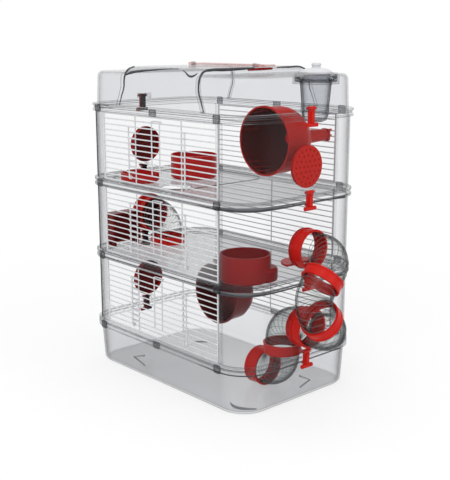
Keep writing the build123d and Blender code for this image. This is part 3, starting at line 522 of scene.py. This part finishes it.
def bend_ribs(start, entering, leaving, body):
    """The ribs round a quarter bend, from the start of its first socket and the tube's ways in and out."""
    pivot = start + entering * SOCKET + leaving * ARC_RADIUS
    ribs = []
    for rib in range(RIB_SPACES + 1):
        angle = math.pi / 2 * rib / RIB_SPACES
        centre = pivot - leaving * math.cos(angle) * ARC_RADIUS + entering * math.sin(angle) * ARC_RADIUS
        axis = entering * math.cos(angle) + leaving * math.sin(angle)
        line = even(circle(centre, axis, RIB_RADIUS), RIB_WIDTH)
        ribs.append(stroke("rib", line, "tube_line", body, closed=True, smooth=False))
    return ribs


def dress_tubes():
    """The moulded ribs round the clear bends."""
    upper_z = RAIL_LEVELS[1] + TUBE_ABOVE_LEVEL
    lower_z = RAIL_LEVELS[0] + TUBE_ABOVE_LEVEL
    half = math.sqrt(0.5)
    right, left, down = Vector((1, 0, 0)), Vector((-1, 0, 0)), Vector((0, 0, -1))
    down_front, down_back = Vector((0, -half, -half)), Vector((0, half, -half))
    runs = (
        ("outside_tube", (PANEL_X + OUTSIDE_TUBE_START, 0, upper_z), (right, down_front, down_back, left)),
        ("cage", (PANEL_X, 0, lower_z), (left, down, left)),
        ("cage", (FLOOR_TUBE_START - PANEL_X, 0, upper_z), (right, down)),
    )
    for number, (body, start, directions) in enumerate(runs):
        place = Vector(start)
        for entering, leaving in zip(directions, directions[1:]):
            ribs = bend_ribs(place, entering, leaving, body)
            # the count of objects so far tells the bends of a run apart
            join(f"tube_ribs_{number}_{len(bpy.data.objects)}", ribs, "tube_line", body)
            place = place + (entering + leaving) * (SOCKET + ARC_RADIUS)


# ---------------------------------------------------------------- tub
ARROW_WIDTH = 1.5


def dress_tub():
    """The plain arrow marks on the tub's walls and the curved marks in its floor."""
    front = [(-44, 6.6 - RAIL_Y, 40), (-74, 7.2 - RAIL_Y, 30), (-45, 7.8 - RAIL_Y, 22)]
    right = [(RAIL_X - 7.1, -4, 40), (RAIL_X - 7.8, 21, 27), (RAIL_X - 8.3, -1, 20)]
    stroke("tub_arrow_front", even(front, ARROW_WIDTH), "soft_line", "cage", smooth=False)
    stroke("tub_arrow_right", even(right, ARROW_WIDTH), "soft_line", "cage", smooth=False)
    near = [(136, -98, 1.0), (150, -103, 2.1), (166, -98, 2.1), (180, -84, 0.9)]
    far = [(-122, 44, 0.8), (-114, 55, 1.6), (-102, 64, 0.8)]
    stroke("tub_floor_mark_near", [(x, y, TUB_FLOOR, width) for x, y, width in near], "soft_line", "cage")
    stroke("tub_floor_mark_far", [(x, y, TUB_FLOOR, width) for x, y, width in far], "soft_line", "cage")


# ---------------------------------------------------------------- rails, panels and keys
RAIL_SHADES = ((0, 0.8), (1, 1.2), (2, 1.3))  # the level, and the width of the dark line at its rail
DARK_SHARES = (0.25, 0.7, 1.0, 1.05, 1.15, 1.15, 1.05, 0.85, 1.0, 1.8)  # of that width, along the line
SOFT_SHARES = (0.1, 0.5, 1.0, 1.4, 1.7, 1.7, 1.3, 0.7, 0.3, 0.1)  # the same for the softer line over it
DARK_BELOW_LEVEL = 5.2
SOFT_ABOVE_DARK = 3.0
PANEL_SHADES = (  # distance inward from the end panel's face and from the rail's face, width
    (16.6, 18.4, 0.7),
    (34.0, 6.4, 0.95),
)
PANEL_SHADE_MARGIN = 8.0  # from a level to the end of a panel's dark line
RIM_SHADES = ((-112.0, 1.0), (-118.0, 5.0))  # x where the line ends, height over the top frame
RIM_SHADE_START = -150.0
RIM_SHADE_DEPTH = 0.6  # how far the line lies behind the rail's face
RIM_SHADE_WIDTH = 0.6


def round_corner(z, start, end, inset=1.0):
    """Points along a rail round the front right corner, from x = start to y = end."""
    x, y = RAIL_X - inset, RAIL_Y - inset
    radius = RAIL_ROUNDING - inset
    points = [(start, -y, z), ((start + x - radius) / 2, -y, z)]
    for degrees in (0, 22.5, 45, 67.5, 90):
        angle = math.radians(degrees)
        points.append((x - radius + radius * math.sin(angle), -y + radius - radius * math.cos(angle), z))
    for share in (0.5, 0.85, 1.0):
        points.append((x, (radius - y) + (end + y - radius) * share, z))
    return points


def dress_rails():
    """Painted shade: the dark lines at the rails' front right corner, the left panels' front corner and the
    lid's rim.
    """
    for level, width in RAIL_SHADES:
        z = RAIL_LEVELS[level] - DARK_BELOW_LEVEL
        dark = varied(round_corner(z, start=100.0, end=84.0), width, DARK_SHARES)
        stroke(f"rail_shade_{level}", dark, "dark_line", "cage")
        if level:
            corner = round_corner(z + SOFT_ABOVE_DARK, start=130.0, end=30.0, inset=1.6)
            stroke(f"rail_soft_shade_{level}", varied(corner, width, SOFT_SHARES), "tube_line", "cage")
    for storey in (1, 2, 3):
        low = RAIL_LEVELS[storey - 1] + PANEL_SHADE_MARGIN
        high = RAIL_LEVELS[storey] - PANEL_SHADE_MARGIN
        for number, (from_end, from_rail, width) in enumerate(PANEL_SHADES):
            x, y = from_end - PANEL_X, from_rail - RAIL_Y
            line = even([(x, y, low), (x, y, (low + high) / 2), (x, y, high)], width)
            stroke(f"panel_left_{storey}_shade_{number}", line, "dark_line", "cage", smooth=False)
    for end, above in RIM_SHADES:
        y, z = RIM_SHADE_DEPTH - RAIL_Y, RAIL_LEVELS[-1] + above
        line = even([(RIM_SHADE_START, y, z), (end, y, z)], RIM_SHADE_WIDTH)
        stroke(f"key_shade_{round(z)}", line, "mid_line", "cage", smooth=False)


# ---------------------------------------------------------------- hopper
HOPPER_WALL = (  # distance below the hopper's top, radius of its wall there, width of the dark line on it
    (10.0, 24.0, 1.2),
    (25.0, 23.2, 0.9),
    (45.0, 21.6, 0.8),
    (65.0, 20.0, 0.8),
    (72.0, 17.8, 0.6),
)
HOPPER_FLANGE = ((-34, 0.5), (-20, 1.8), (0, 2.9), (20, 1.8), (34, 0.5))  # degrees round it, width
FLANGE_RADIUS = 30.0
FLANGE_BELOW_TOP = 5.5
# the sides of the hopper that are seen edge-on, where its wall and flange get painted shade
HOPPER_SIDES = (("left", 227.6), ("right", 47.6))  # degrees from +X


def round_hopper(degrees, radius, below):
    """The point round the hopper's middle line, so far below its top."""
    angle = math.radians(degrees)
    place = Vector((middle("feed_hopper", 0), middle("feed_hopper", 1), span("feed_hopper", 2)[1] - below))
    return place + Vector((math.cos(angle), math.sin(angle), 0)) * radius


def dress_hopper():
    """Painted shade: the dark edges of the hopper's wall and of its flange, where they are seen edge-on."""
    for name, turn in HOPPER_SIDES:
        wall = [(*round_hopper(turn, radius, below), width) for below, radius, width in HOPPER_WALL]
        stroke(f"hopper_edge_{name}", wall, "dark_line", "hopper")
        flange = []
        for degrees, width in HOPPER_FLANGE:
            flange.append((*round_hopper(turn + degrees, FLANGE_RADIUS, FLANGE_BELOW_TOP), width))
        stroke(f"hopper_flange_shade_{name}", flange, "dark_line", "hopper")


# ---------------------------------------------------------------- floor, light and camera, in metres
FLOOR_RADIUS = 6.0
FLOOR_FADE = (0.35, 1.0)  # from the middle: where the floor starts to turn white, and where it is white
FLOOR_WHITE_NEAR = 0.72  # the share of white at the object
WORLD_LIGHT = 0.62
LAMPS = (  # name, place, size, power
    ("key_lamp", (0.9, -1.5, 1.7), 1.3, 20.0),
    ("side_lamp", (2.0, 0.5, 1.1), 1.2, 9.0),
    ("top_lamp", (-0.3, 0.2, 2.2), 1.6, 14.0),
)
LAMP_TARGET = (0, 0, 0.26)
CAMERA_PLACE = (1.08982, -0.98041, 0.55961)
CAMERA_AZIMUTH = 47.601  # degrees from the front towards the right
CAMERA_ELEVATION = 12.807
LENS = 66.73  # mm
SENSOR_WIDTH = 36.0  # mm


def seen_directly(look):
    """1 for rays from the camera, from a reflection and through glass, else 0."""
    path = look.add("ShaderNodeLightPath")
    seen = look.maths("MAXIMUM", path.outputs["Is Camera Ray"], path.outputs["Is Glossy Ray"])
    return look.maths("MAXIMUM", seen, path.outputs["Is Transmission Ray"])


def pale_floor():
    """A pale floor that takes the object's shadow and fades into white around it."""
    mesh = bpy.data.meshes.new("floor")
    shape = bmesh.new()
    bmesh.ops.create_circle(shape, cap_ends=True, segments=96, radius=FLOOR_RADIUS)
    shape.to_mesh(mesh)
    shape.free()
    floor = bpy.data.objects.new("floor", mesh)
    bpy.context.scene.collection.objects.link(floor)
    look = Nodes(bpy.data.materials.new("studio_floor"))
    away = look.vector_maths("LENGTH", look.add("ShaderNodeTexCoord").outputs["Object"])
    fade = look.spread(away, FLOOR_WHITE_NEAR, 1.0, *FLOOR_FADE)
    matt = look.add("ShaderNodeBsdfDiffuse", {"Color": rgba((0.9, 0.9, 0.9))}).outputs[0]
    white = look.add("ShaderNodeEmission", {"Color": WHITE, "Strength": 1.0}).outputs[0]
    whiteness = look.maths("MULTIPLY", seen_directly(look), fade)
    mesh.materials.append(look.finish(look.mix_shaders(whiteness, matt, white)))


def white_world():
    """A world that is white to look at and gives a softer light."""
    look = Nodes(bpy.data.worlds.new("studio_world"))
    soft = look.add("ShaderNodeBackground", {"Color": WHITE, "Strength": WORLD_LIGHT}).outputs[0]
    white = look.add("ShaderNodeBackground", {"Color": WHITE, "Strength": 1.0}).outputs[0]
    bpy.context.scene.world = look.finish(look.mix_shaders(seen_directly(look), soft, white))


def aim(holder, direction):
    """Turns a lamp or a camera to look in a direction."""
    holder.rotation_mode = "QUATERNION"
    holder.rotation_quaternion = direction.to_track_quat("-Z", "Y")


def lamps():
    """Soft lamps at a plain level."""
    for name, place, size, power in LAMPS:
        light = bpy.data.lights.new(name, "AREA")
        light.shape = "SQUARE"
        light.size = size
        light.energy = power
        lamp = bpy.data.objects.new(name, light)
        lamp.location = place
        aim(lamp, Vector(LAMP_TARGET) - Vector(place))
        bpy.context.scene.collection.objects.link(lamp)


def camera():
    """The camera stands in front of the cage's front right corner, a little above it."""
    data = bpy.data.cameras.new("camera")
    data.sensor_width = SENSOR_WIDTH
    data.lens = LENS
    view = bpy.data.objects.new("camera", data)
    view.location = CAMERA_PLACE
    azimuth = math.radians(CAMERA_AZIMUTH)
    elevation = math.radians(CAMERA_ELEVATION)
    level = math.cos(elevation)
    back = Vector((math.sin(azimuth) * level, -math.cos(azimuth) * level, math.sin(elevation)))
    aim(view, -back)
    bpy.context.scene.collection.objects.link(view)
    bpy.context.scene.camera = view


# ---------------------------------------------------------------- the scene
dress_nodes()
dress_lid()
dress_tubes()
dress_tub()
dress_rails()
dress_hopper()

pale_floor()
white_world()
lamps()
camera()
bpy.context.scene.view_settings.view_transform = "Standard"
bpy.context.scene.cycles.transparent_max_bounces = 48  # a line of sight crosses many clear walls
